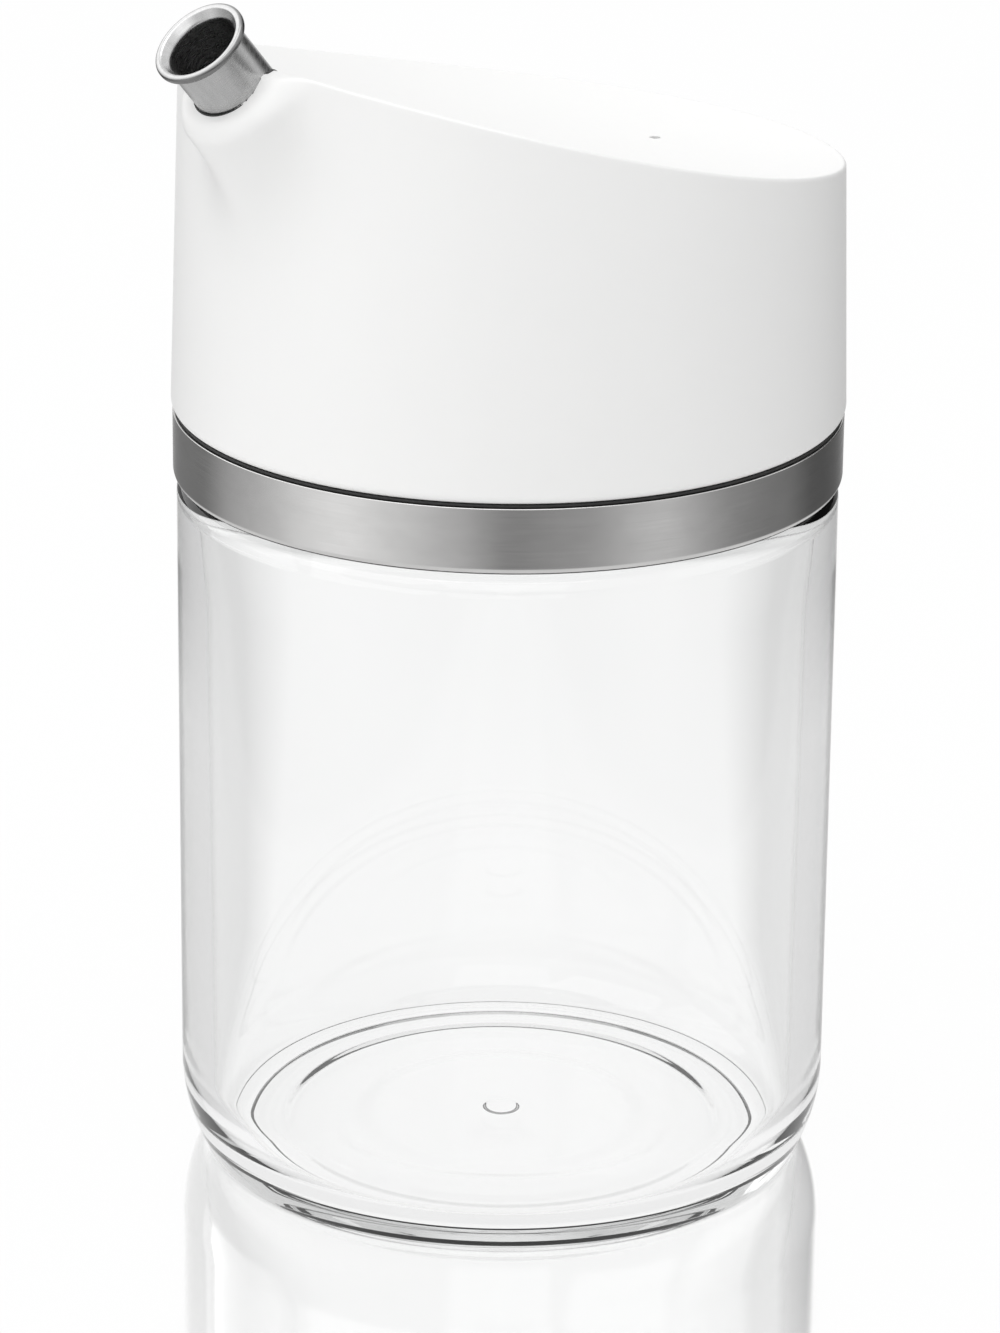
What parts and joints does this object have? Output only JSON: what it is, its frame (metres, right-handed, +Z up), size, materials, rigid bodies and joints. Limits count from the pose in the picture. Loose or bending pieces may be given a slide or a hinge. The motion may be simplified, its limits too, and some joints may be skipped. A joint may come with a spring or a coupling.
{
  "type": "oil dispenser",
  "caption": "Round clear glass jar with a steel banded white screw lid, its sloping dished top rising to a short flared steel pouring spout.",
  "frame": {"origin": "centre of the ring that the jar stands on, at the height of the table", "axes": "+Z up along the jar's axis, -X towards the side that the spout leans out to, +Y across the spout's plane"},
  "size_m": [0.0908, 0.08, 0.1485],
  "materials": {
    "clear_glass": "clear, polished",
    "clear_silicone": "satin",
    "dark_plastic": "matt",
    "band_steel": "brushed round the hoop",
    "black_rubber": "matt",
    "white_plastic": "satin white",
    "spout_steel": "finely turned"
  },
  "bodies": {
    "jar": {"glass_jar": "clear_glass"},
    "seal": {"mouth_gasket": "clear_silicone"},
    "lid": {"lid_shell": "white_plastic", "screw_collar": "dark_plastic", "steel_band": "band_steel", "seam_gasket": "black_rubber", "spout_tube": "spout_steel", "spout_seal": "black_rubber"}
  },
  "joints": [
    {"name": "lid_lift", "type": "slide", "parent": "jar", "child": "seal", "axis": [0, 0, 1], "range_m": [0, 0.04]},
    {"name": "lid_twist", "type": "hinge", "parent": "seal", "child": "lid", "pos_m": [0, 0, 0.098], "axis": [0, 0, 1], "range_deg": [0, 270]}
  ]
}
